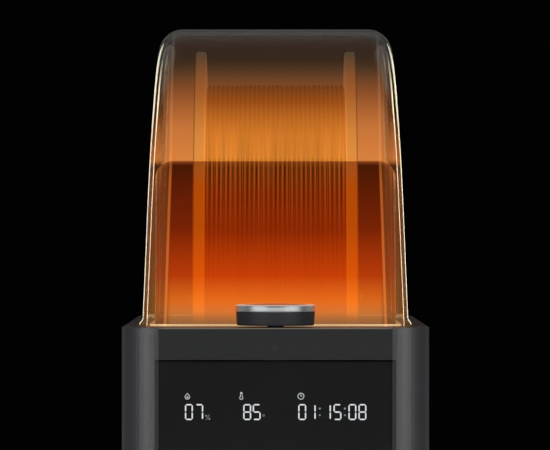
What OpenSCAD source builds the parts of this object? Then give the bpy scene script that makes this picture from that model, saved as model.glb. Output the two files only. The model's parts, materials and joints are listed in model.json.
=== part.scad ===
// Heated dryer box for one spool of filament: a tall narrow base with a display and a press knob at its front, and a
// clear domed cover that tips back on a rear hinge. Two rollers in the base carry the spool; a blower and a heater
// behind it warm the chamber. +Z is up, the display faces -Y, X runs across the narrow front, and the origin is the
// middle of the footprint on the table. Millimetres.

/* [Base] */
// Width of the base across its front
base_w = 114; // [112:1:118]
// Depth of the base from the display to the back wall
base_d = 280; // [278:1:286]
// Height of the deck that the cover stands on
deck_z = 135; // [134:0.5:136]
// Radius of the base's upright corners
corner_r = 14; // [11:1:16]
// Thickness of the base's walls
wall = 2.5; // [2:0.1:2.8]
// Height of the rubber feet
foot_h = 3; // [2:0.5:4]

/* [Front] */
// Half width of the bay between the two front pillars
bay_x = 43.1; // [42:0.1:44]
// Height of the matte strip above the display glass
strip_h = 11.8; // [10:0.1:14]
// Height of the display glass
glass_h = 46.5; // [42:0.5:48]
// How far the display glass lies behind the front
glass_in = 1.5; // [1:0.1:2]

/* [Cover] */
// Height of the cover's highest point
cover_top = 249.5; // [248:0.5:252]
// Wall of the cover
cover_t = 2; // [1.6:0.1:2.4]
// Half width of the cover just above its foot
cover_x = 49.9; // [49.5:0.1:50.5]
// How much the half width shrinks for each millimetre of height
cover_draft = 0.042; // [0.03:0.002:0.044]
// Front face of the cover
cover_y0 = -108.5; // [-109:0.1:-108.3]
// Rear face of the cover
cover_y1 = 120; // [119.5:0.1:120]
// Rounding between the cover's arch and its sides
cover_r = 9; // [8:0.5:10]
// Length of the arch's quarter ellipse along the box
arch_a = 97; // [90:1:100]
// Height of the arch's quarter ellipse
arch_b = 74; // [70:1:76]

/* [Cover hinge] */
// Hinge axis behind the cover
hinge_y = 127; // [126.5:0.1:127.5]
// Height of the hinge axis above the deck
hinge_up = 5; // [5:0.1:5.5]
// Radius of the hinge pins
pin_r = 2; // [1.5:0.1:2.2]

/* [Spool] */
// Radius of the spool's flanges
spool_r = 100; // [98:0.5:100]
// Width of the spool over its flanges
spool_w = 62.5; // [60:0.5:68]
// Thickness of a flange
flange_t = 4; // [3:0.5:6]
// Radius of the hole through the hub
hub_hole_r = 27.5; // [25:0.5:28]
// Outer radius of the hub's barrel
barrel_r = 42; // [38:1:50]
// Outer radius of the filament on the spool
winding_r = 87; // [60:1:92]
// Height of the spool's axis
spool_z = 141.2; // [140.8:0.1:141.6]

/* [Rollers] */
// Radius of a roller over its rubber tyres
roller_r = 11; // [9:0.5:11.5]
// Angle of each roller from straight below the spool
roller_a = 28; // [25:1:31]
// Radius of the roller axles
axle_r = 2.5; // [2:0.1:3]

/* [Knob] */
// Radius of the knob
knob_r = 14.9; // [13:0.1:15]
// Height of the knob's top above the deck
knob_h = 8.8; // [8:0.1:10]
// Height of the metal cap on the knob
cap_h = 3; // [2.5:0.1:3.5]
// How far the knob presses down
knob_travel = 0.6; // [0.4:0.1:0.8]

/* [Hidden] */
$fn = 64;

fy = -base_d / 2;                  // front face
by = base_d / 2;                   // back face
hx = base_w / 2;                   // half width
fz = deck_z - wall;                // underside of the deck
zb = foot_h;                       // underside of the base
strip_z = deck_z - strip_h;        // bottom of the matte strip
glass_z1 = strip_z - 0.5;          // top of the glass
glass_z0 = glass_z1 - glass_h;     // bottom of the glass
fascia_z0 = 20;                    // bottom of the lower front panel
bay_y0 = fy + wall;                // inside of the front wall
hinge_z = deck_z + hinge_up;
spool_y = -1;
roller_gap = 0.3;
rd = spool_r + roller_r + roller_gap;
ry = rd * sin(roller_a);
rz = spool_z - rd * cos(roller_a);
// chamber tub, inside faces
tub_x = 39;
tub_y0 = -103.2;
tub_y1 = 101;
tub_z = 28;
tub_t = 2;
// knob
ky = fy + 15.1;
knob_z0 = deck_z + 0.7;
knob_z1 = deck_z + knob_h;
enc_z = deck_z - 16.6;             // bottom of the encoder's hollow
// blower
bl_y0 = 108;
bl_y1 = 124;
bl_z = 66;
guide_top = 197;
guide_lean = 6.4;

INK = "#2b2c2e";
function arc(n, a0, a1) = [for (i = [0:n]) a0 + (a1 - a0) * i / n];

module rrect(w, d, r) {
    square([w - 2 * r, d], center = true);
    square([w, d - 2 * r], center = true);
    for (x = [-1, 1], y = [-1, 1]) translate([x * (w / 2 - r), y * (d / 2 - r)]) circle(r);
}
module box(a, b) { translate(a) cube([b[0] - a[0], b[1] - a[1], b[2] - a[2]]); }
module xrod(x0, x1, y, z, r) { translate([x0, y, z]) rotate([0, 90, 0]) cylinder(h = x1 - x0, r = r); }
module yrod(y0, y1, x, z, r) { translate([x, y1, z]) rotate([90, 0, 0]) cylinder(h = y1 - y0, r = r); }
module zrod(z0, z1, x, y, r) { translate([x, y, z0]) cylinder(h = z1 - z0, r = r); }
// a plate in the XZ plane, drawn in 2D as (x, z), between y0 and y1
module xz(y0, y1) { translate([0, y1, 0]) rotate([90, 0, 0]) linear_extrude(y1 - y0) children(); }

/* ---------- base ---------- */
// a boss for the bottom cover's screw, with a rib to the side wall
module screw_boss(p) {
    color(INK) difference() {
        union() {
            zrod(zb + 2.6, 24, p[0], p[1], 3.6);
            box([p[0] > 0 ? p[0] : -hx + wall - 0.5, p[1] - 1, zb + 2.6], [p[0] > 0 ? hx - wall + 0.5 : p[0], p[1] + 1, 24]);
        }
        zrod(zb + 2, zb + 13, p[0], p[1], 1.5);
    }
}
// the whole housing, which the modules below cut into its panels
module housing() {
    color(INK) difference() {
        translate([0, 0, zb]) linear_extrude(deck_z - zb) rrect(base_w, base_d, corner_r);
        translate([0, 0, zb - 1]) linear_extrude(fz - zb + 1) rrect(base_w - 2 * wall, base_d - 2 * wall, corner_r - wall);
        // bay between the front pillars, open at the top for the matte strip
        box([-bay_x, fy - 1, fascia_z0], [bay_x, bay_y0 + 0.01, deck_z + 1]);
        // chamfers beside the recessed glass
        for (s = [-1, 1]) translate([0, 0, glass_z0 - 0.5]) linear_extrude(strip_z - glass_z0 + 0.5)
            polygon([[s * (bay_x - 0.1), fy - 0.1], [s * (bay_x + glass_in + 0.1), fy - 0.1], [s * (bay_x - 0.1), fy + glass_in + 0.1]]);
        // chamber mouth and duct mouth in the deck
        box([-tub_x, tub_y0, fz - 1], [tub_x, tub_y1, deck_z + 1]);
        box([-26, 104.4, fz - 1], [26, 109.4, deck_z + 1]);
        // hole for the encoder's bushing
        zrod(fz - 1, deck_z + 1, 0, ky, 4.8);
        // air slots low in both sides
        for (s = [-1, 1], i = [0:9]) box([s * (hx - 1.2) - 2, 30 + i * 6.4, 14], [s * (hx - 1.2) + 2, 33 + i * 6.4, 44]);
        // openings in the back wall: mains inlet, switch, vent, filament outlet
        box([-44, by - 4, 12], [-16, by + 1, 32]);
        box([-46.1, by - 1.4, 10.1], [-13.9, by + 1, 33.9]);
        box([6, by - 4, 12], [19, by + 1, 32]);
        box([3.9, by - 1.4, 10.1], [21.1, by + 1, 33.9]);
        box([-25, by - 4, 52], [25, by + 1, 92]);
        yrod(by - 4, by + 1, 34.5, 118, 6.5);
    }
}
// half width of the flat rear panel
panel_x = 47.5;
module base_side(s) {
    intersection() {
        union() {
            housing();
            for (p = screw_spots) if (p[0] * s > 0) screw_boss(p);
        }
        difference() {
            box([s > 0 ? 40 : -hx - 1, fy - 1, 0], [s > 0 ? hx + 1 : -40, by + 1, fz]);
            box([-panel_x, by - 20, -1], [panel_x, by + 2, fz + 1]);
            box([-bay_x, fy - 2, -1], [bay_x, fy + 20, fz + 1]);
        }
    }
}
module base_side_left() { base_side(-1); }
module base_side_right() { base_side(1); }
module base_deck() { intersection() { housing(); box([-hx - 1, fy - 1, fz], [hx + 1, tub_y1, deck_z + 1]); } }
module hinge_deck() { intersection() { housing(); box([-hx - 1, tub_y1, fz], [hx + 1, by + 1, deck_z + 1]); } }
module base_front_sill() { intersection() { housing(); box([-bay_x, fy - 1, 0], [bay_x, fy + 20, fascia_z0 + 1]); } }
module base_rear_panel() { intersection() { housing(); box([-panel_x, by - 20, 0], [panel_x, by + 2, fz]); } }
module bottom_cover() {
    color("#242527") difference() {
        translate([0, 0, zb]) linear_extrude(2.5) rrect(base_w - 2 * wall - 0.4, base_d - 2 * wall - 0.4, corner_r - wall - 0.2);
        for (p = screw_spots) { zrod(zb - 1, zb + 1.5, p[0], p[1], 3.2); zrod(zb - 1, zb + 4, p[0], p[1], 1.7); }
        for (i = [0:11]) box([-30, -36 + i * 6, zb - 1], [30, -33 + i * 6, zb + 4]);
    }
}
screw_spots = [[-44, -98], [44, -98], [-46, 0], [46, 0], [-44, 98], [44, 98]];
feet_spots = [[-38, -120], [38, -120], [-38, 120], [38, 120]];
module rubber_feet() {
    color("#151515") for (p = feet_spots) translate([p[0], p[1], 0])
        rotate_extrude() polygon([[0, 0], [7.4, 0], [8.4, 0.6], [8.8, foot_h], [0, foot_h]]);
}
module bottom_screws() {
    color("#8c8f92") for (p = screw_spots) translate([p[0], p[1], 0]) difference() {
        union() { zrod(zb + 0.3, zb + 1.5, 0, 0, 2.9); zrod(zb + 1.5, zb + 12, 0, 0, 1.5); }
        zrod(zb - 1, zb + 1, 0, 0, 1.2);
    }
}
module front_trim() {
    color("#2e3032") difference() {
        box([-bay_x + 0.05, fy, strip_z], [bay_x - 0.05, bay_y0, deck_z]);
        yrod(fy - 1, bay_y0 + 1, 0, deck_z - 7.2, 1.2);
    }
}
module status_light() { color("#e8edf0") yrod(fy + 0.05, bay_y0 + 1.5, 0, deck_z - 7.2, 1.2); }
module display_glass() {
    color("#101112") box([-bay_x + 0.1, fy + glass_in, glass_z0], [bay_x - 0.1, fy + glass_in + 2, glass_z1]);
}
// one seven-segment digit; on is the list of lit bars, top first, then clockwise, the middle last
DW = 2.95; DH = 5.9; ST = 0.5;
SEG = [[0, 1, 2, 3, 4, 5], [1, 2], [0, 1, 6, 4, 3], [0, 1, 6, 2, 3], [5, 6, 1, 2], [0, 5, 6, 2, 3],
    [0, 5, 4, 3, 2, 6], [0, 1, 2], [0, 1, 2, 3, 4, 5, 6], [0, 1, 2, 3, 5, 6]];
module hbar(x0, x1, z) {
    polygon([[x0 + 0.12, z], [x0 + 0.12 + ST / 2, z - ST / 2], [x1 - 0.12 - ST / 2, z - ST / 2], [x1 - 0.12, z],
        [x1 - 0.12 - ST / 2, z + ST / 2], [x0 + 0.12 + ST / 2, z + ST / 2]]);
}
module vbar(x, z0, z1) {
    polygon([[x, z0 + 0.12], [x + ST / 2, z0 + 0.12 + ST / 2], [x + ST / 2, z1 - 0.12 - ST / 2], [x, z1 - 0.12],
        [x - ST / 2, z1 - 0.12 - ST / 2], [x - ST / 2, z0 + 0.12 + ST / 2]]);
}
module digit(n) {
    h = DH / 2; e = ST / 2;
    for (s = SEG[n]) {
        if (s == 0) hbar(e, DW - e, DH - e);
        if (s == 1) vbar(DW - e, h, DH - e);
        if (s == 2) vbar(DW - e, e, h);
        if (s == 3) hbar(e, DW - e, e);
        if (s == 4) vbar(e, e, h);
        if (s == 5) vbar(e, h, DH - e);
        if (s == 6) hbar(e, DW - e, h);
    }
}
dig_z = 101.05;
DIGITS = [[-33.4, 0], [-29.6, 7], [-11.9, 8], [-8.4, 5], [8.4, 0], [11.9, 1], [17.5, 1], [21.4, 5], [26.9, 0], [30.6, 8]];
module display_digits() {
    color("#dfe6ea") xz(fy + glass_in - 0.12, fy + glass_in) for (d = DIGITS) translate([d[0], dig_z]) digit(d[1]);
}
module drop(r, tip) { circle(r); polygon([[-r * 0.93, r * 0.36], [0, tip], [r * 0.93, r * 0.36]]); }
module display_icons() {
    color("#b8c0c4") xz(fy + glass_in - 0.12, fy + glass_in) {
        for (x = [16.35, 25.6], z = [1.5, 3.9]) translate([x - 0.32, dig_z + z]) square([0.64, 0.64]);
        // a drop, a thermometer and a clock
        translate([-32.5, 109.6]) {
            difference() { drop(0.98, 1.5); drop(0.7, 1.08); }
            translate([0, -0.18]) circle(0.36);
        }
        translate([-12.6, 109.25]) difference() {
            union() { circle(0.72); translate([-0.42, 0]) square([0.84, 1.75]); translate([0, 1.75]) circle(0.42); }
            circle(0.44); translate([-0.17, 0]) square([0.34, 1.5]);
        }
        translate([9.4, 109.85]) {
            difference() { circle(1.25); circle(0.95); }
            translate([-0.12, 0]) square([0.24, 0.75]);
            translate([-0.12, -0.12]) square([0.65, 0.24]);
        }
        // unit marks: a slash with two dots, and a ring
        translate([-25.8, dig_z]) { polygon([[0.05, 0], [0.33, 0], [1.6, 2], [1.32, 2]]); translate([0.25, 1.55]) circle(0.36); translate([1.4, 0.45]) circle(0.36); }
        translate([-4.35, dig_z + 1.7]) difference() { circle(0.42); circle(0.2); }
    }
}
module display_module() {
    color("#1c1d20") box([-37, fy + glass_in + 2.2, 92], [37, fy + glass_in + 5.2, 113]);
}
module display_board() {
    y = fy + glass_in + 5.2;
    color("#1d5a34") {
        box([-41, y, 80], [41, y + 1.6, 121]);
        box([-36, y + 1.6, 84], [-22, y + 4.6, 90]);
        box([10, y + 1.6, 84], [20, y + 3, 94]);
    }
}
module front_fascia() {
    color("#202123") difference() {
        box([-bay_x + 0.05, fy, fascia_z0 + 0.05], [bay_x - 0.05, bay_y0, glass_z0 - 0.5]);
        box([-bay_x + 3, fy + 1.4, fascia_z0 + 3], [bay_x - 3, bay_y0 + 1, glass_z0 - 3.5]);
    }
}
module main_board() {
    color("#1d5a34") {
        box([-45, -109, 64], [45, -107.4, 112]);
        box([-38, -116, 68], [-22, -109, 80]);
        box([-8, -111, 76], [6, -109, 90]);
        for (x = [20, 30, 40]) translate([x, -109, 74]) rotate([90, 0, 0]) cylinder(h = 9, r = 3.5);
        box([-40, -113, 96], [-16, -109, 103]);
    }
}
module power_supply() {
    color("#2a5f3a") {
        box([-48, -134, 8], [48, -107, 9.6]);
        box([-20, -130, 9.6], [6, -110, 32]);
        for (p = [[-38, -124], [20, -122]]) translate([p[0], p[1], 9.6]) cylinder(h = 26, r = 7);
        box([32, -132, 9.6], [35, -110, 38]);
        box([-30, -131, 9.6], [-26, -112, 34]);
        box([40, -128, 9.6], [46, -114, 20]);
    }
}
module ribbon_cable() {
    y = fy + glass_in + 6.8;
    color("#d9d9d2") translate([24, 0, 0]) rotate([90, 0, 90]) linear_extrude(14)
        polygon([[y, 98], [-109, 98], [-109, 98.6], [y, 98.6]]);
}
module mains_leads() {
    color("#5a2f22") for (x = [-36, -33]) {
        yrod(-107, 119.5, x, 8.8, 1.2);
    }
}

/* ---------- back wall fittings ---------- */
module power_inlet() {
    color("#161617") difference() {
        union() {
            box([-46, by - 1.4, 10.2], [-14, by - 0.2, 33.8]);
            box([-43.8, by - 20, 12.2], [-16.2, by - 1.4, 31.8]);
        }
        box([-41.8, by - 17, 14.2], [-18.2, by + 1, 29.8]);
    }
    color("#c9b458") for (p = [[-37, 24], [-30, 20], [-23, 24]]) box([p[0] - 1, by - 17.01, p[1] - 2], [p[0] + 1, by - 5, p[1] + 2]);
}
sw_x = 12.5; sw_z = 22;
module switch_frame() {
    color("#1a1a1b") difference() {
        union() {
            box([sw_x - 8.5, by - 1.4, 10.2], [sw_x + 8.5, by - 0.2, 33.8]);
            box([sw_x - 6.4, by - 16, 12.1], [sw_x + 6.4, by - 1.4, 31.9]);
        }
        box([sw_x - 5, by - 13, 13.6], [sw_x + 5, by + 1, 30.4]);
        xrod(sw_x - 6, sw_x + 6, by - 5.5, sw_z, 1.0);
    }
}
module switch_rocker() {
    color("#26272a") difference() {
        union() {
            translate([sw_x - 4.7, 0, 0]) rotate([90, 0, 90]) linear_extrude(9.4)
                polygon([[by - 8, sw_z - 3.4], [by - 1.4, sw_z - 7.2], [by - 0.4, sw_z - 7.0], [by - 1.7, sw_z - 0.3],
                    [by - 3.5, sw_z + 7.5], [by - 4.4, sw_z + 7.3], [by - 8, sw_z + 3.4]]);
            xrod(sw_x - 5.6, sw_x + 5.6, by - 5.5, sw_z, 0.95);
        }
    }
}
module vent_grille() {
    color("#1f2022") difference() {
        box([-24.8, by - 2.4, 52.2], [24.8, by - 0.4, 91.8]);
        for (i = [0:3]) box([-20.75 + i * 11.5, by - 5, 57], [-20.75 + i * 11.5 + 6, by + 1, 86.4]);
        box([-22, by - 5, 88], [-12.6, by + 1, 90.4]);
    }
}
// the shutter's own windows line up with the grille's when it has slid 6 mm
module vent_shutter() {
    color("#2c2d30") difference() {
        union() {
            box([-27.5, by - 4.3, 53], [25, by - 2.75, 91]);
            box([-21.5, by - 2.75, 88.4], [-19, by - 0.2, 90]);
        }
        for (i = [0:3]) box([-20.75 + i * 11.5 - 5.8, by - 6, 58.5], [-20.75 + i * 11.5 - 0.2, by, 85.5]);
    }
}
ox = 34.5; oz = 118;
module outlet_coupler() {
    color("#3a3c3f") difference() {
        union() { yrod(by - 14, by - 2, ox, oz, 6.4); yrod(by - 4.5, by - 2.6, ox, oz, 8.6); }
        yrod(by - 12, by + 1, ox, oz, 3.1);
        yrod(by - 15, by - 11, ox, oz, 2.02);
    }
}
module outlet_collet() {
    color("#3f6fb0") difference() {
        union() { yrod(by - 9, by - 0.9, ox, oz, 3.05); yrod(by - 0.9, by, ox, oz, 4.6); }
        yrod(by - 10, by + 1, ox, oz, 2.05);
    }
}
module outlet_tube() {
    color("#eeeeea") difference() {
        yrod(tub_y1 - 1, by - 12.1, ox, oz, 2);
        yrod(tub_y1 - 2, by - 11, ox, oz, 1.1);
    }
}

/* ---------- chamber ---------- */
// the liner is five panels that slot together, with a hairline gap at each seam
seam = 0.1;
module chamber_tub() {
    color("#1b1614") {
        box([-tub_x - tub_t, tub_y0 - tub_t, tub_z - tub_t], [tub_x + tub_t, tub_y1 + tub_t, tub_z]);
        for (s = [-1, 1]) box([s > 0 ? tub_x : -tub_x - tub_t, tub_y0 - tub_t, tub_z + seam], [s > 0 ? tub_x + tub_t : -tub_x, tub_y1 + tub_t, fz]);
        box([-tub_x + seam, tub_y0 - tub_t, tub_z + seam], [tub_x - seam, tub_y0, fz]);
        difference() {
            box([-tub_x + seam, tub_y1, tub_z + seam], [tub_x - seam, tub_y1 + tub_t, fz]);
            for (i = [0:4]) box([-19, tub_y1 - 1, 50 + i * 8], [19, tub_y1 + tub_t + 1, 54 + i * 8]);
            yrod(tub_y1 - 1, tub_y1 + tub_t + 1, ox, oz, 2.05);
        }
    }
}
cr_x0 = 36.3; cr_x1 = 38.6;
module roller_cradle() {
    color("#3b3c3f") difference() {
        union() {
            for (s = [-1, 1]) {
                box([s > 0 ? 30 : -38.6, spool_y - ry - 9, tub_z], [s > 0 ? 38.6 : -30, spool_y + ry + 9, tub_z + 1.6]);
                for (t = [-1, 1]) {
                    box([s > 0 ? cr_x0 : -cr_x1, spool_y + t * ry - 6, tub_z + 1.6], [s > 0 ? cr_x1 : -cr_x0, spool_y + t * ry + 6, rz]);
                    xrod(s > 0 ? cr_x0 : -cr_x1, s > 0 ? cr_x1 : -cr_x0, spool_y + t * ry, rz, 6);
                }
            }
            for (t = [-1, 1]) box([-30, spool_y + t * ry - 3, tub_z], [30, spool_y + t * ry + 3, tub_z + 1.6]);
        }
        for (t = [-1, 1]) xrod(-40, 40, spool_y + t * ry, rz, axle_r);
    }
}
module roller_axles() {
    color("#b9bcc0") for (t = [-1, 1]) xrod(-38.6, 38.6, spool_y + t * ry, rz, axle_r);
}
module roller(y) {
    difference() {
        union() { xrod(-35.6, 35.6, y, rz, roller_r - 1.6); xrod(-23.8, 23.8, y, rz, roller_r - 0.8); }
        xrod(-40, 40, y, rz, 3.6);
        for (s = [-1, 1]) xrod(s > 0 ? 30.6 : -36, s > 0 ? 36 : -30.6, y, rz, 6);
    }
}
module tyres(y) {
    for (s = [-1, 1]) difference() {
        xrod(s > 0 ? 24 : -35.4, s > 0 ? 35.4 : -24, y, rz, roller_r);
        xrod(-40, 40, y, rz, roller_r - 1.6);
    }
}
module bearings(y) {
    for (s = [-1, 1]) difference() {
        xrod(s > 0 ? 30.6 : -35.6, s > 0 ? 35.6 : -30.6, y, rz, 6);
        xrod(-40, 40, y, rz, axle_r + 0.05);
        for (q = [-36, 30.2]) translate([q, y, rz]) rotate([0, 90, 0]) difference() { cylinder(h = 5.8, r = 4.9); translate([0, 0, -1]) cylinder(h = 8, r = 3.5); translate([0, 0, q < 0 ? 0.8 : 0.8]) cylinder(h = 4.2, r = 6); }
    }
}
module front_roller() { color("#4a4b4e") roller(spool_y - ry); }
module rear_roller() { color("#4a4b4e") roller(spool_y + ry); }
module front_roller_tyres() { color("#1a1a1a") tyres(spool_y - ry); }
module rear_roller_tyres() { color("#1a1a1a") tyres(spool_y + ry); }
module front_roller_bearings() { color("#c3c6c9") bearings(spool_y - ry); }
module rear_roller_bearings() { color("#c3c6c9") bearings(spool_y + ry); }

module blower_housing() {
    color("#222326") difference() {
        union() {
            yrod(bl_y0, bl_y1, 0, bl_z, 30);
            box([2, bl_y0, bl_z], [30, bl_y1, 97.6]);
        }
        yrod(bl_y0 + 1.6, bl_y1 - 1.6, 0, bl_z, 28.2);
        box([3.8, bl_y0 + 1.6, bl_z], [28.2, bl_y1 - 1.6, 99]);
        yrod(bl_y0 - 1, bl_y0 + 3, 0, bl_z, 18);
        yrod(bl_y1 - 3, bl_y1 + 1, 0, bl_z, 1.55);
    }
}
module blower_rotor() {
    color("#2f3033") {
        yrod(bl_y0 + 2.4, bl_y1 - 2.4, 0, bl_z, 8);
        yrod(bl_y1 - 3.6, bl_y1 - 2.4, 0, bl_z, 25);
        yrod(bl_y1 - 2.4, bl_y1 + 0.4, 0, bl_z, 1.5);
        for (i = [0:23]) translate([0, 0, bl_z]) rotate([0, i * 15, 0]) translate([19, bl_y0 + 2.6, -0.5]) cube([6, bl_y1 - bl_y0 - 5.2, 1]);
    }
}
module ptc_heater() {
    color("#a7abad") {
        box([-26, 107.5, 101], [-24, 122.5, 119]);
        box([24, 107.5, 101], [26, 122.5, 119]);
        for (i = [0:2]) box([-24, 107.5, 102 + i * 7], [24, 122.5, 104 + i * 7]);
        for (i = [0:18]) box([-22.8 + i * 2.5, 108.5, 101.4], [-22.2 + i * 2.5, 121.5, 118.6]);
    }
}
module heater_shroud() {
    color("#2a2522") difference() {
        box([-30.8, 103.2, 98], [30.8, 125.6, fz]);
        box([-28.5, 104.4, 97], [28.5, 124, 129.5]);
        box([-26, 104.4, 120], [26, 109.4, fz + 1]);
    }
}
duct_x = 30;
// outline of the duct, d inside its outer face
module duct_outline(d) {
    translate([-duct_x + d, deck_z]) square([2 * duct_x - 2 * d, guide_top - deck_z - 10]);
    translate([-duct_x + 10, deck_z]) square([2 * duct_x - 20, guide_top - deck_z - d]);
    for (s = [-1, 1]) translate([s * (duct_x - 10), guide_top - 10]) circle(10 - d);
}
// back plate, rim in three lengths, and the plate that the warm air leaves through
module rear_air_duct() {
    color("#221a16") {
        xz(109.4, 111) duct_outline(0);
        xz(102.5, 104.3) difference() {
            duct_outline(0);
            for (i = [0:4]) translate([-24, 147 + i * 8.4]) square([48, 5]);
        }
        for (s = [-1, 1]) box([s > 0 ? duct_x - 1.8 : -duct_x, 104.3 + seam, deck_z], [s > 0 ? duct_x : -duct_x + 1.8, 109.4 - seam, guide_top - 10 - seam]);
        xz(104.3 + seam, 109.4 - seam) difference() {
            duct_outline(0);
            duct_outline(1.8);
            translate([-60, deck_z - 1]) square([120, guide_top - 10 - deck_z + 1]);
        }
    }
}
guide_x = 45.3;
module front_air_guide() {
    color([0.62, 0.22, 0.04, 0.75]) intersection() {
        translate([0, -104.6, deck_z]) rotate([-guide_lean, 0, 0]) translate([0, 0, -6]) linear_extrude(80) difference() {
            translate([0, 40]) rrect(2 * guide_x, 80, 6);
            translate([0, 40]) rrect(2 * guide_x - 3.2, 76.8, 4.4);
            translate([-60, 15]) square([120, 80]);
        }
        xz(-120, -60) union() {
            translate([-guide_x, deck_z]) square([2 * guide_x, guide_top - deck_z - 6.6]);
            translate([-guide_x + 6.6, deck_z]) square([2 * guide_x - 13.2, guide_top - deck_z]);
            for (s = [-1, 1]) translate([s * (guide_x - 6.6), guide_top - 6.6]) circle(6.6);
        }
    }
}
gx = cover_x - cover_t - 0.5;
module lid_gasket() {
    color("#b9a78c") translate([0, (cover_y0 + cover_y1) / 2, deck_z]) linear_extrude(0.8) difference() {
        rrect(2 * gx, cover_y1 - cover_y0 - 2 * cover_t - 1, cover_r - cover_t - 0.5);
        rrect(2 * gx - 2.4, cover_y1 - cover_y0 - 2 * cover_t - 3.4, cover_r - cover_t - 1.7);
    }
}
module humidity_sensor() {
    color("#2c6b3c") { box([-9, tub_y0, 68], [9, tub_y0 + 1.4, 82]); box([-4, tub_y0 + 1.4, 71], [4, tub_y0 + 4, 79]); }
}

/* ---------- cover ---------- */
// the arch seen from the side: [y, z, ny, nz], from the front foot over the top to the rear foot
flare_z = [0, 1, 2, 3];
flare_d = [1.2, 1.1, 0.45, 0];
zc = cover_top - arch_b;
function arch_half(yc, s) = [for (t = arc(11, 0, 90)) let (ny = s * cos(t) / arch_a, nz = sin(t) / arch_b, m = norm([ny, nz]))
    [yc + s * arch_a * cos(t), zc + arch_b * sin(t), ny / m, nz / m]];
function reversed(v) = [for (i = [len(v) - 1:-1:0]) v[i]];
foot_rows = len(flare_z);
front_rows = concat([for (f = flare_z) [cover_y0, deck_z + f, -1, 0]], [[cover_y0, deck_z + 20, -1, 0]]);
rear_rows = concat([[cover_y1, deck_z + 20, 1, 0]], reversed([for (f = flare_z) [cover_y1, deck_z + f, 1, 0]]));
arch = concat(front_rows, arch_half(cover_y0 + arch_a, -1), reversed(arch_half(cover_y1 - arch_a, 1)), rear_rows);
function row_flare(i) = i < foot_rows ? flare_d[i] : (i > len(arch) - 1 - foot_rows ? flare_d[len(arch) - 1 - i] : 0);
function half_x(z) = cover_x - cover_draft * (z - deck_z - 2.3);
CA = arc(7, 0, 90);
// the row across the cover at one point of the arch; d is how far inside the outer face it lies
function across(p, d, f) = let (r = cover_r - d + f, left = [for (a = CA)
    let (off = -d + f - r + r * sin(a), y = p[0] + off * p[2], z = p[1] + off * p[3]) [-(half_x(z) - d + f - r + r * cos(a)), y, z]])
    concat(left, reversed([for (q = left) [-q[0], q[1], q[2]]]));
NC = 2 * len(CA);
NR = len(arch);
cover_pts = concat(
    [for (i = [0:NR - 1], q = across(arch[i], 0, row_flare(i))) q],
    [for (i = [0:NR - 1], q = across(arch[i], cover_t, 0)) q]);
function o(i, j) = i * NC + j;
function n(i, j) = NR * NC + i * NC + j;
k = foot_rows - 1;
M = floor(NR / 2);
cover_faces = concat(
    [for (i = [0:NR - 2], j = [0:NC - 2]) each [[o(i, j), o(i + 1, j), o(i + 1, j + 1)], [o(i, j), o(i + 1, j + 1), o(i, j + 1)]]],
    [for (i = [0:NR - 2], j = [0:NC - 2]) each [[n(i, j), n(i + 1, j + 1), n(i + 1, j)], [n(i, j), n(i, j + 1), n(i + 1, j + 1)]]],
    // sides, outside: the foot's flare strips, then the flat arch-shaped face as a fan
    [for (i = [0:k - 1]) each [[o(i, 0), o(NR - 1 - i, 0), o(NR - 2 - i, 0)], [o(i, 0), o(NR - 2 - i, 0), o(i + 1, 0)]]],
    [for (i = [k:NR - 2 - k]) if (i != M && i + 1 != M) [o(M, 0), o(i + 1, 0), o(i, 0)]], [[o(M, 0), o(k, 0), o(NR - 1 - k, 0)]],
    [for (i = [0:k - 1]) each [[o(i, NC - 1), o(NR - 2 - i, NC - 1), o(NR - 1 - i, NC - 1)], [o(i, NC - 1), o(i + 1, NC - 1), o(NR - 2 - i, NC - 1)]]],
    [for (i = [k:NR - 2 - k]) if (i != M && i + 1 != M) [o(M, NC - 1), o(i, NC - 1), o(i + 1, NC - 1)]], [[o(M, NC - 1), o(NR - 1 - k, NC - 1), o(k, NC - 1)]],
    // sides, inside
    [for (i = [0:NR - 2]) if (i != M && i + 1 != M) [n(M, 0), n(i, 0), n(i + 1, 0)]], [[n(M, 0), n(NR - 1, 0), n(0, 0)]],
    [for (i = [0:NR - 2]) if (i != M && i + 1 != M) [n(M, NC - 1), n(i + 1, NC - 1), n(i, NC - 1)]], [[n(M, NC - 1), n(0, NC - 1), n(NR - 1, NC - 1)]],
    // the foot's flat rim
    [for (j = [0:NC - 2]) each [[o(0, j), o(0, j + 1), n(0, j + 1)], [o(0, j), n(0, j + 1), n(0, j)]]],
    [for (j = [0:NC - 2]) each [[o(NR - 1, j), n(NR - 1, j + 1), o(NR - 1, j + 1)], [o(NR - 1, j), n(NR - 1, j), n(NR - 1, j + 1)]]],
    [[o(0, 0), n(0, 0), n(NR - 1, 0)], [o(0, 0), n(NR - 1, 0), o(NR - 1, 0)]],
    [[o(0, NC - 1), n(NR - 1, NC - 1), n(0, NC - 1)], [o(0, NC - 1), o(NR - 1, NC - 1), n(NR - 1, NC - 1)]]);
module cover_shell() { color([0.85, 0.8, 0.72, 0.3]) translate([0, 0, 0.1]) polyhedron(points = cover_pts, faces = cover_faces); }
lug_x = [22, 32];
module cover_hinge_lugs() {
    color("#2f3033") for (s = [-1, 1]) difference() {
        union() {
            xrod(s > 0 ? lug_x[0] : -lug_x[1], s > 0 ? lug_x[1] : -lug_x[0], hinge_y, hinge_z, 4.3);
            box([s > 0 ? lug_x[0] : -lug_x[1], cover_y1, hinge_z - 1.6], [s > 0 ? lug_x[1] : -lug_x[0], hinge_y, hinge_z + 4.3]);
            box([s > 0 ? lug_x[0] - 3 : -lug_x[1] - 3, cover_y1, hinge_z - 1.6], [s > 0 ? lug_x[1] + 3 : -lug_x[0] + 3, cover_y1 + 1.6, hinge_z + 9]);
        }
        xrod(-50, 50, hinge_y, hinge_z, pin_r + 0.05);
    }
}
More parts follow.
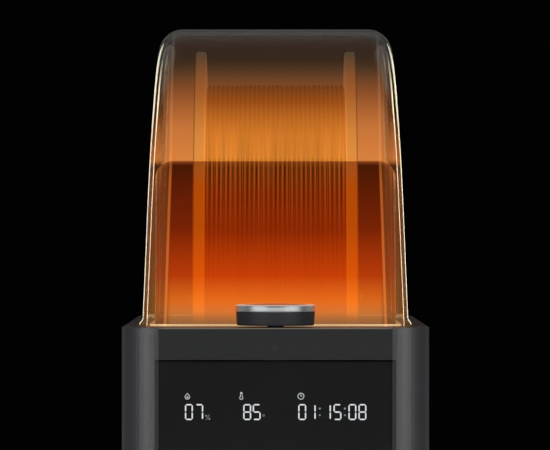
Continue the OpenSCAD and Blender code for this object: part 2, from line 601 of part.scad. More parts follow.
module hinge_brackets() {
    color("#2f3033") for (s = [-1, 1]) difference() {
        union() for (e = [[17.6, 21.7], [32.3, 36.4]]) {
            x0 = s > 0 ? e[0] : -e[1];
            x1 = s > 0 ? e[1] : -e[0];
            xrod(x0, x1, hinge_y, hinge_z, 4.3);
            box([x0, hinge_y - 3.6, deck_z], [x1, hinge_y + 4.3, hinge_z]);
        }
        xrod(-50, 50, hinge_y, hinge_z, pin_r);
    }
}
module hinge_pins() {
    color("#c3c6c9") for (s = [-1, 1]) xrod(s > 0 ? 17.6 : -36.4, s > 0 ? 36.4 : -17.6, hinge_y, hinge_z, pin_r);
}

/* ---------- knob ---------- */
module knob_cap() {
    z = knob_z1 - cap_h;
    color("#b9bbbd") translate([0, ky, 0]) rotate_extrude() polygon([[0, z], [knob_r - 0.1, z], [knob_r, z + 0.3],
        [knob_r, knob_z1 - 0.9], [knob_r - 0.35, knob_z1 - 0.45], [knob_r - 1.0, knob_z1 - 0.3], [knob_r - 6, knob_z1 - 0.08], [0, knob_z1]]);
}
module knob_body() {
    z = knob_z1 - cap_h;
    color("#2d2e31") translate([0, ky, 0]) rotate_extrude() polygon([[3, knob_z0], [knob_r - 1.7, knob_z0], [knob_r - 1.0, knob_z0 + 0.2],
        [knob_r - 0.55, knob_z0 + 0.65], [knob_r - 0.4, knob_z0 + 1.3], [knob_r - 0.2, z], [3, z]]);
}
module encoder_shaft() { color("#a9acb0") zrod(enc_z + 3.0, knob_z1 - cap_h, 0, ky, 3); }
module encoder_plunger() { color("#d0c08a") zrod(enc_z + 1.2, enc_z + 2.95, 0, ky, 2.6); }
module encoder_body() {
    color("#3c3f44") difference() {
        union() {
            box([-6.5, ky - 6.5, enc_z - 1.4], [6.5, ky + 6.5, enc_z + 7.5]);
            zrod(enc_z + 7.5, deck_z - 0.4, 0, ky, 4.7);
        }
        zrod(enc_z, enc_z + 6, 0, ky, 3.4);
        zrod(enc_z + 5, deck_z + 1, 0, ky, 3.05);
    }
    color("#1d5a34") box([-14, ky - 6.4, enc_z - 3], [14, ky + 9, enc_z - 1.4]);
}

/* ---------- spool ---------- */
module about_spool() { translate([0, spool_y, spool_z]) rotate([0, 90, 0]) children(); }
module spool_flange(s) {
    i = spool_w / 2 - flange_t;
    about_spool() mirror([0, 0, s > 0 ? 0 : 1]) difference() {
        rotate_extrude($fn = 96) polygon([[hub_hole_r, i], [spool_r - 0.5, i], [spool_r, i + 0.5],
            [spool_r, spool_w / 2 - 0.5], [spool_r - 0.5, spool_w / 2], [spool_r - 3.6, spool_w / 2], [spool_r - 4.4, spool_w / 2 - 0.8],
            [barrel_r + 6, spool_w / 2 - 0.8], [barrel_r + 5, spool_w / 2], [hub_hole_r, spool_w / 2]]);
        for (a = [0:60:300]) rotate([0, 0, a + 30]) translate([(barrel_r + winding_r) / 2, 0, i - 1]) cylinder(h = flange_t + 2, r = 12);
    }
}
module spool_flange_left() { color("#2e2622") spool_flange(-1); }
module spool_flange_right() { color("#2e2622") spool_flange(1); }
module spool_hub() {
    i = spool_w / 2 - flange_t;
    color("#2e2622") about_spool() rotate_extrude($fn = 96) polygon([[hub_hole_r, -i], [barrel_r, -i], [barrel_r, i], [hub_hole_r, i],
        [hub_hole_r, i - 2.5], [barrel_r - 2.5, i - 2.5], [barrel_r - 2.5, -i + 2.5], [hub_hole_r, -i + 2.5]]);
}
module filament() {
    i = spool_w / 2 - flange_t - 0.3;
    color("#e0661a") about_spool() rotate_extrude($fn = 96) polygon([[barrel_r, -i], [winding_r - 1, -i], [winding_r, -i + 1], [winding_r, i - 1], [winding_r - 1, i], [barrel_r, i]]);
}

base_side_left();
base_side_right();
base_deck();
hinge_deck();
base_rear_panel();
base_front_sill();
bottom_cover();
rubber_feet();
bottom_screws();
front_trim();
status_light();
display_glass();
display_digits();
display_icons();
display_module();
display_board();
front_fascia();
main_board();
power_supply();
ribbon_cable();
mains_leads();
power_inlet();
switch_frame();
switch_rocker();
chamber_tub();
roller_cradle();
roller_axles();
front_roller();
front_roller_tyres();
front_roller_bearings();
rear_roller();
rear_roller_tyres();
rear_roller_bearings();
blower_housing();
blower_rotor();
ptc_heater();
heater_shroud();
rear_air_duct();
front_air_guide();
lid_gasket();
humidity_sensor();
vent_grille();
vent_shutter();
outlet_coupler();
outlet_collet();
outlet_tube();
hinge_brackets();
hinge_pins();
cover_shell();
cover_hinge_lugs();
knob_cap();
knob_body();
encoder_shaft();
encoder_plunger();
encoder_body();
spool_flange_left();
spool_flange_right();
spool_hub();
filament();
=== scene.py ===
# Looks of the heated dryer box for one filament spool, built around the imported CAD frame.
import json
import math

import bmesh
import bpy
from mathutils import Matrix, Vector

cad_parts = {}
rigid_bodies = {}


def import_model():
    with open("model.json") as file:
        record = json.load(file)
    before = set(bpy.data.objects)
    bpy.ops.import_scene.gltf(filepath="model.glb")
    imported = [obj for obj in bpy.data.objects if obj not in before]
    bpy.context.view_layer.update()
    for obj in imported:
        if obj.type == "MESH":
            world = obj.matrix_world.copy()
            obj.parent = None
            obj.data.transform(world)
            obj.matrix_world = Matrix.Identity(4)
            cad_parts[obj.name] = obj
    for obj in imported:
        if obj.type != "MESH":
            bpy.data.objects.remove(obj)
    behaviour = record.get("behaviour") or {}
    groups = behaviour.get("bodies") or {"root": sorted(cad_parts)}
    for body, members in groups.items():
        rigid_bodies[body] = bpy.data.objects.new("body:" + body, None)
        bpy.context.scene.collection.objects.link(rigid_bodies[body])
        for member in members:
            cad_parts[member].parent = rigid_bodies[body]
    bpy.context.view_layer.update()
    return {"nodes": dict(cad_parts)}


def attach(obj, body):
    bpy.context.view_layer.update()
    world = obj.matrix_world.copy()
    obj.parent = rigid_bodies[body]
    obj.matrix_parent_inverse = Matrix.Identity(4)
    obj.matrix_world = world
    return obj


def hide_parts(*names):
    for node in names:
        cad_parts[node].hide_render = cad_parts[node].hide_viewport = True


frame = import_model()
NODES = frame["nodes"]
scene = bpy.context.scene
MM = 0.001

# ---------------------------------------------------------------- camera
F_PX = 5426.0  # focal length in pixels of a 550 wide picture
DIST = 2.0  # from the camera to the base's front face
cam_data = bpy.data.cameras.new("camera")
cam_data.sensor_fit = "HORIZONTAL"
cam_data.sensor_width = 36.0
cam_data.lens = F_PX / 550.0 * 36.0
cam_data.clip_start = 0.05
cam_data.clip_end = 20
camera = bpy.data.objects.new("camera", cam_data)
camera.location = (-0.00017, -0.140 - DIST, 0.173)
camera.rotation_euler = (math.radians(90), 0, 0)
scene.collection.objects.link(camera)
scene.camera = camera
scene.view_settings.view_transform = "Standard"
scene.view_settings.look = "None"


# ---------------------------------------------------------------- helpers
def lin(r, g, b):
    """Linear colour from 0 to 255 display values."""
    def f(v):
        v /= 255.0
        return v / 12.92 if v <= 0.04045 else ((v + 0.055) / 1.055) ** 2.4
    return (f(r), f(g), f(b), 1.0)


class Mat:
    """A node material with a few short ways to add nodes."""

    def __init__(self, name):
        self.m = bpy.data.materials.new(name)
        self.m.use_nodes = True
        self.nt = self.m.node_tree
        self.nt.nodes.clear()
        self.out = self.nt.nodes.new("ShaderNodeOutputMaterial")

    def node(self, kind, **props):
        n = self.nt.nodes.new(kind)
        for k, v in props.items():
            setattr(n, k, v)
        return n

    def link(self, a, b):
        self.nt.links.new(a, b)

    def bsdf(self, base=(0.5, 0.5, 0.5), rough=0.5, metallic=0.0, **kw):
        n = self.node("ShaderNodeBsdfPrincipled")
        n.inputs["Base Color"].default_value = (*base[:3], 1)
        n.inputs["Roughness"].default_value = rough
        n.inputs["Metallic"].default_value = metallic
        for k, v in kw.items():
            n.inputs[k.replace("_", " ")].default_value = v
        return n

    def surface(self, socket):
        self.link(socket, self.out.inputs["Surface"])
        return self.m

    def world_pos(self):
        g = self.node("ShaderNodeNewGeometry")
        s = self.node("ShaderNodeSeparateXYZ")
        self.link(g.outputs["Position"], s.inputs[0])
        return s

    def object_pos(self):
        g = self.node("ShaderNodeTexCoord")
        s = self.node("ShaderNodeSeparateXYZ")
        self.link(g.outputs["Object"], s.inputs[0])
        return s

    def coords(self):
        return self.node("ShaderNodeTexCoord").outputs["Object"]

    def math(self, op, a, b=None, clamp=False):
        n = self.node("ShaderNodeMath", operation=op, use_clamp=clamp)
        for i, v in enumerate((a, b)):
            if v is None:
                continue
            if isinstance(v, (int, float)):
                n.inputs[i].default_value = v
            else:
                self.link(v, n.inputs[i])
        return n.outputs[0]

    def maprange(self, v, a, b, c=0.0, d=1.0, smooth=False):
        n = self.node("ShaderNodeMapRange")
        n.interpolation_type = "SMOOTHSTEP" if smooth else "LINEAR"
        n.clamp = True
        self.link(v, n.inputs["Value"])
        for k, x in zip(("From Min", "From Max", "To Min", "To Max"), (a, b, c, d)):
            n.inputs[k].default_value = x
        return n.outputs["Result"]

    def ramp(self, fac, stops, interp="LINEAR"):
        n = self.node("ShaderNodeValToRGB")
        cr = n.color_ramp
        cr.interpolation = interp
        while len(cr.elements) < len(stops):
            cr.elements.new(0.5)
        for e, (p, c) in zip(cr.elements, sorted(stops, key=lambda s: s[0])):
            e.position = p
            e.color = c
        self.link(fac, n.inputs["Fac"])
        return n.outputs["Color"]

    def height_ramp(self, z, stops_mm, interp="LINEAR"):
        """Colour by height: stops are (millimetres, colour)."""
        lo = min(s[0] for s in stops_mm)
        hi = max(s[0] for s in stops_mm)
        f = self.maprange(z, lo * MM, hi * MM)
        return self.ramp(f, [((s[0] - lo) / (hi - lo), s[1]) for s in stops_mm], interp)

    def noise(self, scale, detail=3.0, rough=0.5, vec=None, dim="3D"):
        n = self.node("ShaderNodeTexNoise", noise_dimensions=dim)
        n.inputs["Scale"].default_value = scale
        n.inputs["Detail"].default_value = detail
        n.inputs["Roughness"].default_value = rough
        self.link(vec if vec is not None else self.coords(), n.inputs["Vector"])
        return n.outputs["Fac"]

    def scaled(self, sx, sy, sz):
        n = self.node("ShaderNodeMapping")
        n.inputs["Scale"].default_value = (sx, sy, sz)
        self.link(self.coords(), n.inputs["Vector"])
        return n.outputs["Vector"]

    def gloss_share(self, base=0.04, scale=1.0):
        """Share of light a clear surface mirrors, from head on to grazing, the same on both sides of a wall."""
        lw = self.node("ShaderNodeLayerWeight")
        lw.inputs["Blend"].default_value = 0.5
        f = self.math("POWER", lw.outputs["Facing"], 5.0)
        f = self.math("MULTIPLY_ADD", f, (1.0 - base) * scale)
        self.nt.nodes[-1].inputs[2].default_value = base * scale
        return f

    def bump(self, height, strength, dist, target):
        n = self.node("ShaderNodeBump")
        n.inputs["Strength"].default_value = strength
        n.inputs["Distance"].default_value = dist
        self.link(height, n.inputs["Height"])
        self.link(n.outputs["Normal"], target.inputs["Normal"])
        return n

    def mix_color(self, fac, a, b):
        n = self.node("ShaderNodeMix", data_type="RGBA")
        if isinstance(fac, (int, float)):
            n.inputs[0].default_value = fac
        else:
            self.link(fac, n.inputs[0])
        for i, v in ((6, a), (7, b)):
            if isinstance(v, tuple):
                n.inputs[i].default_value = v if len(v) == 4 else (*v, 1)
            else:
                self.link(v, n.inputs[i])
        return n.outputs[2]


def moulded(name, base, rough=0.45, grain=0.5, vary=0.12, spec=0.5, coarse=900.0):
    """Moulded plastic: a fine pebbled texture, and slight changes of tone and shine."""
    m = Mat(name)
    p = m.bsdf(base, rough, Specular_IOR_Level=spec)
    fine = m.noise(coarse, 2.0, 0.55)
    broad = m.noise(14.0, 3.0, 0.5)
    m.bump(fine, grain * 0.5, 0.00025, p)
    dark = tuple(c * (1 - vary) for c in base)
    light = tuple(c * (1 + vary) for c in base)
    m.link(m.mix_color(broad, dark, light), p.inputs["Base Color"])
    r = m.math("MULTIPLY_ADD", fine, 0.12)
    m.nt.nodes[-1].inputs[2].default_value = rough - 0.06
    m.link(r, p.inputs["Roughness"])
    return m.surface(p.outputs[0])


def metal(name, base, rough=0.25, streak=(1.0, 1.0, 1.0), amount=0.25):
    m = Mat(name)
    p = m.bsdf(base, rough, 1.0)
    n = m.noise(1200.0, 3.0, 0.6, m.scaled(*streak))
    r = m.math("MULTIPLY_ADD", n, amount)
    m.nt.nodes[-1].inputs[2].default_value = rough - amount / 2
    m.link(r, p.inputs["Roughness"])
    m.bump(n, 0.15, 0.0001, p)
    return m.surface(p.outputs[0])


def paint(obj, material):
    obj.data.materials.clear()
    obj.data.materials.append(material)


def new_object(name, mesh, body, replaces=()):
    obj = bpy.data.objects.new(name, mesh)
    scene.collection.objects.link(obj)
    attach(obj, body)
    if replaces:
        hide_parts(*replaces)
    return obj


def smooth(mesh, angle=35):
    for f in mesh.polygons:
        f.use_smooth = True
    mesh.set_sharp_from_angle(angle=math.radians(angle))


def softened(node, body, width_mm, segments=2, angle=40, name=None):
    """A copy of a CAD node with its coplanar faces joined and its sharp edges rounded, standing for the node."""
    src = NODES[node].data
    bm = bmesh.new()
    bm.from_mesh(src)
    rounded(bm, width_mm, segments, angle)
    me = bpy.data.meshes.new(name or node + "_piece")
    bm.to_mesh(me)
    bm.free()
    return new_object(name or node + "_piece", hardened(me), body, (node,))


def hardened(me, angle=38):
    """Smooth shading over the rounded edges, with the large flat faces kept truly flat."""
    smooth(me, angle)
    bm = bmesh.new()
    bm.from_mesh(me)
    bm.faces.ensure_lookup_table()
    # area of the flat region that each face belongs to
    region = [-1] * len(bm.faces)
    size = []
    for start in bm.faces:
        if region[start.index] >= 0:
            continue
        k = len(size)
        region[start.index] = k
        size.append(0.0)
        stack = [start]
        while stack:
            f = stack.pop()
            size[k] += f.calc_area()
            for e in f.edges:
                for g in e.link_faces:
                    if region[g.index] < 0 and g.normal.dot(f.normal) > 0.99998:
                        region[g.index] = k
                        stack.append(g)
    limit = math.cos(math.radians(angle))
    normals = []
    for f in bm.faces:
        for l in f.loops:
            near = {}
            for g in l.vert.link_faces:
                if g.normal.dot(f.normal) > limit:
                    near[region[g.index]] = g.normal
            ranked = sorted(near, key=lambda k: -size[k])
            if not ranked:  # a sliver without a normal
                normals.append(tuple(l.vert.normal))
                continue
            if len(ranked) == 1 or size[ranked[0]] > 6.0 * size[ranked[1]]:
                n = near[ranked[0]]
            else:
                n = Vector((0, 0, 0))
                for k in ranked:
                    if size[k] > 0.02 * size[ranked[0]]:
                        n = n + near[k]
            normals.append(tuple(n.normalized()))
    bm.free()
    me.normals_split_custom_set(normals)
    return me


def rounded(bm, width_mm, segments, angle):
    """Joins coplanar faces, then rounds the edges sharper than the angle."""
    bmesh.ops.remove_doubles(bm, verts=bm.verts, dist=2e-6)
    bmesh.ops.dissolve_limit(bm, angle_limit=math.radians(0.4), verts=bm.verts, edges=bm.edges)
    edges = [e for e in bm.edges if len(e.link_faces) == 2 and e.calc_face_angle(0) > math.radians(angle)]
    if edges and width_mm > 0:
        bmesh.ops.bevel(bm, geom=edges, offset=width_mm * MM, offset_type="OFFSET", segments=segments, profile=0.5,
                        affect="EDGES", clamp_overlap=True)
    bmesh.ops.triangulate(bm, faces=[f for f in bm.faces if len(f.verts) > 4])


def united(name, nodes, body, width_mm, segments=2, angle=40):
    """One piece standing for several CAD nodes of one moulding, with no seams where the nodes meet."""
    temps = []
    for n in nodes:
        o = bpy.data.objects.new("temp_" + n, NODES[n].data.copy())
        bm = bmesh.new()
        bm.from_mesh(o.data)
        bmesh.ops.remove_doubles(bm, verts=bm.verts, dist=2e-6)
        bm.to_mesh(o.data)
        bm.free()
        scene.collection.objects.link(o)
        temps.append(o)
    group = bpy.data.collections.new("temp_group")
    for o in temps[1:]:
        group.objects.link(o)
    mod = temps[0].modifiers.new("union", "BOOLEAN")
    mod.operation = "UNION"
    mod.operand_type = "COLLECTION"
    mod.collection = group
    mod.solver = "EXACT"
    dg = bpy.context.evaluated_depsgraph_get()
    me = bpy.data.meshes.new_from_object(temps[0].evaluated_get(dg))
    me.name = name
    for o in temps:
        bpy.data.objects.remove(o)
    bpy.data.collections.remove(group)
    bm = bmesh.new()
    bm.from_mesh(me)
    rounded(bm, width_mm, segments, angle)
    bm.to_mesh(me)
    bm.free()
    me.materials.clear()
    return new_object(name, hardened(me), body, nodes)


def grid_faces(rows, cols, offset=0, flip=False, wrap=False):
    out = []
    n = cols if wrap else cols - 1
    for i in range(rows - 1):
        for j in range(n):
            k = (j + 1) % cols
            f = (offset + i * cols + j, offset + (i + 1) * cols + j, offset + (i + 1) * cols + k, offset + i * cols + k)
            out.append(f[::-1] if flip else f)
    return out


# ---------------------------------------------------------------- sizes shared with the frame, in millimetres
DECK = 135.0
COVER = dict(top=249.5, t=1.5, x=49.9, draft=0.042, y0=-108.5, y1=120.0, r=9.0, a=97.0, b=74.0)
SPOOL_Y, SPOOL_Z = -1.0, 141.2
KNOB_Y = -124.9
GUIDE_TOP = 197.0


# ---------------------------------------------------------------- cover
def cover_mesh():
    c = COVER
    zc = c["top"] - c["b"]
    foot = [(0.0, 0.9), (0.12, 1.12), (0.35, 1.2), (0.9, 1.18), (1.25, 1.05), (1.6, 0.7), (2.1, 0.32), (2.7, 0.08), (3.3, 0.0)]
    rows = []
    for z, f in foot:
        rows.append((c["y0"], DECK + z, -1.0, 0.0, f))
    for i in range(1, 7):
        rows.append((c["y0"], DECK + 3.3 + (zc - DECK - 3.3) * i / 7, -1.0, 0.0, 0.0))
    n = 44
    for s, yc in ((-1, c["y0"] + c["a"]), (1, c["y1"] - c["a"])):
        part = []
        for i in range(n + 1):
            t = math.radians(90.0 * i / n)
            ny, nz = s * math.cos(t) / c["a"], math.sin(t) / c["b"]
            m = math.hypot(ny, nz)
            part.append((yc + s * c["a"] * math.cos(t), zc + c["b"] * math.sin(t), ny / m, nz / m, 0.0))
        rows += part if s < 0 else part[::-1]
    for i in range(6, 0, -1):
        rows.append((c["y1"], DECK + 3.3 + (zc - DECK - 3.3) * i / 7, 1.0, 0.0, 0.0))
    for z, f in reversed(foot):
        rows.append((c["y1"], DECK + z, 1.0, 0.0, f))
    nr, foot_n = len(rows), len(foot)
    ca = [math.radians(90.0 * i / 14) for i in range(15)]

    def half(z):
        return c["x"] - c["draft"] * (z - DECK - 2.3)

    def across(p, d, f):
        r = c["r"] - d + f
        left = []
        for a in ca:
            off = -d + f - r + r * math.sin(a)
            y, z = p[0] + off * p[2], p[1] + off * p[3]
            left.append((-(half(z) - d + f - r + r * math.cos(a)), y, z))
        return left + [(-x, y, z) for x, y, z in reversed(left)]

    verts = []
    nc = 2 * len(ca)
    for p in rows:
        verts += across(p, 0.0, p[4])
    for p in rows:
        verts += across(p, c["t"], 0.0)
    o = lambda i, j: i * nc + j
    q = lambda i, j: nr * nc + i * nc + j
    faces = grid_faces(nr, nc) + grid_faces(nr, nc, nr * nc, flip=True)
    k = foot_n - 1
    for j, flip in ((0, False), (nc - 1, True)):
        for i in range(k):
            f = (o(i, j), o(nr - 1 - i, j), o(nr - 2 - i, j), o(i + 1, j))
            faces.append(f[::-1] if flip else f)
        # the flat side as strips between the front half and the back half of the arch
        a = list(range(k, nr // 2))
        b = [nr - 1 - i for i in a]
        for u in range(len(a) - 1):
            f = (o(a[u], j), o(b[u], j), o(b[u + 1], j), o(a[u + 1], j))
            faces.append(f[::-1] if flip else f)
        a = list(range(0, nr // 2))
        b = [nr - 1 - i for i in a]
        for u in range(len(a) - 1):
            f = (q(a[u], j), q(a[u + 1], j), q(b[u + 1], j), q(b[u], j))
            faces.append(f[::-1] if flip else f)
        if nr % 2:
            mid = nr // 2
            f = (o(mid - 1, j), o(mid + 1, j), o(mid, j))
            faces.append(f[::-1] if flip else f)
            f = (q(mid - 1, j), q(mid, j), q(mid + 1, j))
            faces.append(f[::-1] if flip else f)
    for i, flip in ((0, False), (nr - 1, True)):
        for j in range(nc - 1):
            f = (o(i, j), o(i, j + 1), q(i, j + 1), q(i, j))
            faces.append(f[::-1] if flip else f)
    for j, flip in ((0, True), (nc - 1, False)):
        f = (o(0, j), o(nr - 1, j), q(nr - 1, j), q(0, j))
        faces.append(f[::-1] if flip else f)
    me = bpy.data.meshes.new("clear_cover")
    me.from_pydata([(x * MM, y * MM, (z + 0.1) * MM) for x, y, z in verts], [], faces)
    me.validate()
    for f in me.polygons:
        f.material_index = int(all(v >= nr * nc for v in f.vertices))
    bm = bmesh.new()
    bm.from_mesh(me)
    bmesh.ops.recalc_face_normals(bm, faces=bm.faces)
    bm.to_mesh(me)
    bm.free()
    smooth(me, 40)
    return me


def cover_material(name, gloss, stripe, crown):
    m = Mat(name)
    pos = m.world_pos()
    # painted glow: emission by height standing in for the warm light of the chamber that the back of the closed cover
    # catches
    round_off = m.math("POWER", m.maprange(m.math("ABSOLUTE", pos.outputs["X"]), 0.0432, 0.0492), 2.0)
    level = m.math("ADD", pos.outputs["Z"], m.math("MULTIPLY", round_off, 0.0065))
    glow = m.height_ramp(level, [
        (197.8, lin(84, 36, 11)), (200.2, lin(216, 131, 65)), (213, lin(198, 118, 60)), (226, lin(150, 86, 44)),
        (237, lin(87, 62, 42)), (247, lin(10, 11, 12))])
    back = m.maprange(pos.outputs["Y"], 0.020, 0.105, smooth=True)
    inside = m.maprange(pos.outputs["Y"], 0.150, 0.122)
    # the painted glow thins out toward the rounded upright edges, more so near the crown
    far = m.maprange(m.math("ABSOLUTE", pos.outputs["X"]), 0.0420, 0.0490, 0.0, 1.0, smooth=True)
    glow_fade = m.math("SUBTRACT", 1.0, m.math("MULTIPLY", far, m.maprange(pos.outputs["Z"], 0.198, 0.216, 0.4, 0.9)))
    e = m.node("ShaderNodeEmission")
    m.link(glow, e.inputs["Color"])
    m.link(m.math("MULTIPLY", m.math("MULTIPLY", m.math("MULTIPLY", back, inside), glow_fade), 0.57), e.inputs["Strength"])
    t = m.node("ShaderNodeBsdfTransparent")
    t.inputs["Color"].default_value = (0.985, 0.97, 0.95, 1)
    add = m.node("ShaderNodeAddShader")
    m.link(t.outputs[0], add.inputs[0])
    m.link(e.outputs[0], add.inputs[1])
    body = add
    if stripe:
        # painted highlight: a thin emissive line where the front face turns into its rounded edges, standing in for a
        # reflection
        own = m.object_pos()
        ax = m.math("ABSOLUTE", own.outputs["X"])
        at = m.math("MAXIMUM", m.maprange(own.outputs["Z"], 0.1354, 0.1954, 0.04135, 0.0393), 0.0393)
        off = m.math("ABSOLUTE", m.math("SUBTRACT", ax, at))
        line = m.maprange(off, 0.00025, 0.0007, 1.0, 0.0, smooth=True)
        front = m.maprange(own.outputs["Y"], -0.060, 0.0, 1.0, 0.0, smooth=True)
        tone = m.height_ramp(own.outputs["Z"], [(136, lin(146, 88, 40)), (190, lin(152, 78, 26)), (202, lin(92, 60, 36)), (240, lin(62, 56, 50))])
        e2 = m.node("ShaderNodeEmission")
        m.link(tone, e2.inputs["Color"])
        m.link(m.math("MULTIPLY", line, front), e2.inputs["Strength"])
        body = m.node("ShaderNodeAddShader")
        m.link(add.outputs[0], body.inputs[0])
        m.link(e2.outputs[0], body.inputs[1])
        # painted glow along the rounded upright edges at the front, fading out toward the guide's top
        edge = m.math("MULTIPLY", m.maprange(ax, 0.0449, 0.0453), m.maprange(ax, 0.0455, 0.0490, 1.0, 0.45))
        edge = m.math("MULTIPLY", edge, m.maprange(own.outputs["Z"], 0.188, 0.198, 1.0, 0.0, smooth=True))
        e3 = m.node("ShaderNodeEmission")
        m.link(m.height_ramp(own.outputs["Z"], [(137, lin(112, 76, 36)), (165, lin(92, 52, 24)), (198, lin(84, 48, 24))]), e3.inputs["Color"])
        m.link(m.math("MULTIPLY", edge, m.maprange(own.outputs["Y"], -0.100, -0.094, 1.0, 0.0)), e3.inputs["Strength"])
        lit = m.node("ShaderNodeAddShader")
        m.link(body.outputs[0], lit.inputs[0])
        m.link(e3.outputs[0], lit.inputs[1])
        body = lit
    g = m.bsdf(gloss, 0.03, 1.0)
    ripple = m.noise(9.0, 2.0, 0.5)
    m.link(m.maprange(ripple, 0.3, 0.7, 0.02, 0.045), g.inputs["Roughness"])
    mix = m.node("ShaderNodeMixShader")
    # the crown of the arch is duller than the walls
    own = m.object_pos()
    duller = m.maprange(own.outputs["Z"], 0.212, 0.242, 1.0, crown, smooth=True)
    rear = m.maprange(own.outputs["Y"], 0.020, 0.080, 1.0, 0.1, smooth=True)
    # and the flat sides lose their shine toward the crown
    geo = m.node("ShaderNodeNewGeometry")
    nx = m.node("ShaderNodeSeparateXYZ")
    m.link(geo.outputs["Normal"], nx.inputs[0])
    flat = m.maprange(m.math("ABSOLUTE", nx.outputs["X"]), 0.955, 0.985, 0.0, 1.0, smooth=True)
    upto = m.maprange(own.outputs["Z"], 0.192, 0.218, 1.0, 0.2)
    over = m.maprange(own.outputs["Z"], 0.220, 0.238, 0.0, 0.3)
    rear = m.math("MULTIPLY", rear, m.math("SUBTRACT", 1.0, m.math("MULTIPLY", flat, m.math("SUBTRACT", 1.0, m.math("ADD", upto, over)))))
    m.link(m.math("MULTIPLY", m.gloss_share(), m.math("MULTIPLY", duller, rear)), mix.inputs[0])
    m.link(body.outputs[0], mix.inputs[1])
    m.link(g.outputs[0], mix.inputs[2])
    return m.surface(mix.outputs[0])


cover = new_object("clear_cover", cover_mesh(), "cover", ("cover_shell",))
cover.data.materials.append(cover_material("clear_polycarbonate", (0.52, 0.495, 0.455), True, 0.55))
cover.data.materials.append(cover_material("clear_polycarbonate_inside", (1.0, 0.85, 0.69), False, 0.03))


# ---------------------------------------------------------------- filament on the spool
def filament_mesh():
    verts, faces = [], []
    rs, cs = 160, 10
    pitch, rad = 1.794, 0.882
    big = 87.0 - rad - 0.02

    def wob(i, k):
        return math.sin(i * 12.9898 + k * 78.233) * 0.5 + math.sin(i * 4.1 + k * 2.3) * 0.5

    for i in range(30):
        base = len(verts)
        dr = -0.12 + 0.12 * wob(i, 1)
        for a in range(rs):
            t = 2 * math.pi * a / rs
            x0 = (i - 14.5) * pitch + 0.12 * math.sin(2 * t + i * 0.9) * wob(i, 2) + 0.07 * math.sin(5 * t + i)
            rr = big + dr + 0.05 * math.sin(3 * t + 2.0 * i)
            for c in range(cs):
                u = 2 * math.pi * c / cs
                r = rr + rad * math.cos(u)
                verts.append((x0 + rad * math.sin(u), SPOOL_Y + r * math.cos(t), SPOOL_Z + r * math.sin(t)))
        for a in range(rs):
            b = (a + 1) % rs
            for c in range(cs):
                d = (c + 1) % cs
                faces.append((base + a * cs + c, base + a * cs + d, base + b * cs + d, base + b * cs + c))
    # the turns beneath, as one ring
    base = len(verts)
    prof = [(-26.9, 43.0), (26.9, 43.0), (26.9, 85.7), (-26.9, 85.7)]
    for a in range(rs):
        t = 2 * math.pi * a / rs
        for x, r in prof:
            verts.append((x, SPOOL_Y + r * math.cos(t), SPOOL_Z + r * math.sin(t)))
    for a in range(rs):
        b = (a + 1) % rs
        for c in range(4):
            d = (c + 1) % 4
            faces.append((base + a * 4 + c, base + b * 4 + c, base + b * 4 + d, base + a * 4 + d))
    me = bpy.data.meshes.new("filament_turns")
    me.from_pydata([(x * MM, y * MM, z * MM) for x, y, z in verts], [], faces)
    bm = bmesh.new()
    bm.from_mesh(me)
    bmesh.ops.recalc_face_normals(bm, faces=bm.faces)
    bm.to_mesh(me)
    bm.free()
    smooth(me, 50)
    return me


def chamber_light(m):
    """Painted light: emission colour by height, standing in for the chamber's glow as it falls on the turns."""
    pos = m.world_pos()
    col = m.height_ramp(pos.outputs["Z"], [
        (170, lin(154, 60, 6)), (184, lin(215, 100, 27)), (197, lin(235, 143, 53)), (207, lin(219, 129, 46)),
        (221, lin(152, 78, 24)), (229, lin(98, 57, 28))])
    return pos, col


def filament_material():
    m = Mat("filament_strand")
    pos, col = chamber_light(m)
    # painted highlight on the crest of each turn: emission by how far the normal points out from the spool's axis
    g = m.node("ShaderNodeNewGeometry")
    y = m.math("SUBTRACT", pos.outputs["Y"], SPOOL_Y * MM)
    z = m.math("SUBTRACT", pos.outputs["Z"], SPOOL_Z * MM)
    comb = m.node("ShaderNodeCombineXYZ")
    m.link(y, comb.inputs["Y"])
    m.link(z, comb.inputs["Z"])
    nrm = m.node("ShaderNodeVectorMath", operation="NORMALIZE")
    m.link(comb.outputs[0], nrm.inputs[0])
    dot = m.node("ShaderNodeVectorMath", operation="DOT_PRODUCT")
    m.link(nrm.outputs[0], dot.inputs[0])
    m.link(g.outputs["Normal"], dot.inputs[1])
    crest = m.math("POWER", m.math("MAXIMUM", dot.outputs["Value"], 0.0), 7.0)
    # painted shade in the valleys: they stay bright in the hazy top, turn dark behind the guide as a painted shadow of
    # it, and fill with painted light again near the heater
    floor_of = m.height_ramp(pos.outputs["Z"], [
        (152, (0.9, 0.9, 0.9, 1)), (170, (0.5, 0.5, 0.5, 1)), (182, (0.1, 0.1, 0.1, 1)), (195, (0.04, 0.04, 0.04, 1)),
        (199, (0.74, 0.74, 0.74, 1)), (213, (1.0, 1.0, 1.0, 1))])
    lo = m.math("MULTIPLY", floor_of, 1.0)
    span = m.math("SUBTRACT", 1.0, lo)
    lit = m.math("MULTIPLY_ADD", crest, span)
    m.link(lo, m.nt.nodes[-1].inputs[2])
    # the painted glow differs a little from turn to turn
    turn = m.noise(1.0, 2.0, 0.6, m.scaled(330.0, 6.0, 6.0))
    tv = m.maprange(turn, 0.3, 0.7, 0.9, 1.16)
    calm = m.maprange(pos.outputs["Z"], 0.202, 0.214)
    tv = m.math("ADD", m.math("MULTIPLY", m.math("SUBTRACT", tv, 1.02), m.math("SUBTRACT", 1.0, calm)), 1.02)
    f = m.math("MULTIPLY", lit, tv)
    p = m.bsdf(lin(214, 96, 26), 0.45, 0.0, Specular_IOR_Level=0.35)
    m.link(col, p.inputs["Emission Color"])
    m.link(f, p.inputs["Emission Strength"])
    m.link(m.mix_color(turn, lin(70, 28, 9), lin(84, 40, 15)), p.inputs["Base Color"])
    return m.surface(p.outputs[0])


filament = new_object("filament_turns", filament_mesh(), "spool", ("filament",))
paint(filament, filament_material())


